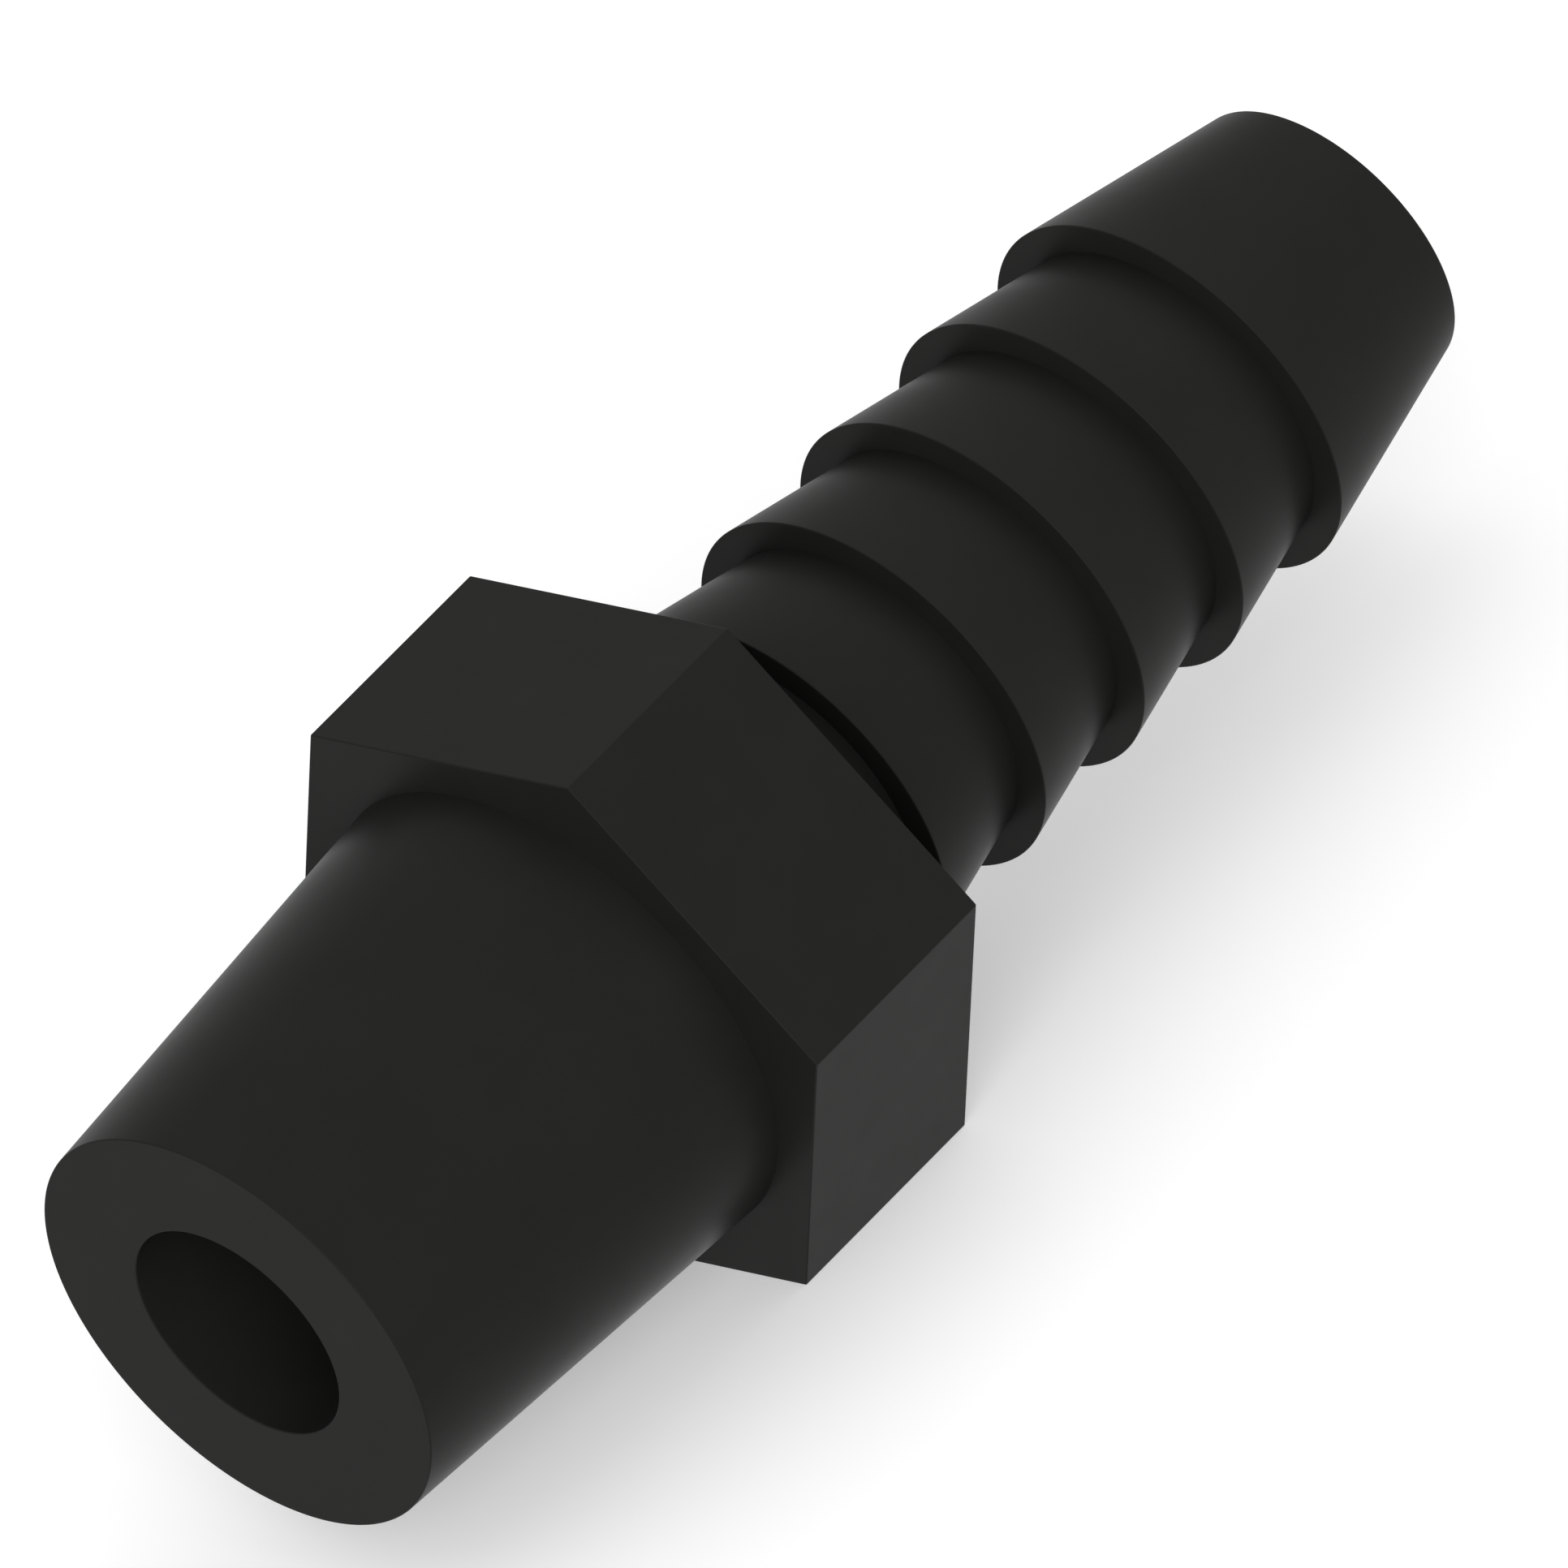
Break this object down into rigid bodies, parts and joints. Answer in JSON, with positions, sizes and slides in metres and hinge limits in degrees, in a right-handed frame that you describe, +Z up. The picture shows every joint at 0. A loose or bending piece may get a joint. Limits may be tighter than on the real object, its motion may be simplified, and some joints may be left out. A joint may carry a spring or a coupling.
{
  "type": "hose barb fitting",
  "caption": "Straight one-piece plastic fitting with a tapered pipe spigot, a spanner hexagon and a barbed hose tail on one through bore.",
  "frame": {"origin": "on the flow axis, in the plane of the tapered spigot's free end", "axes": "+Y runs along the flow axis from the spigot's free end to the tip of the barbed tail, +Z is up with the fitting lying on one flat of its hexagon, and two corners of the hexagon lie at plus and minus X"},
  "size_m": [0.0184, 0.0435, 0.0158],
  "materials": {
    "black_plastic": "moulded, fine matte with a soft sheen"
  },
  "bodies": {
    "root": {"hose_barb_fitting": "black_plastic"}
  },
  "joints": []
}
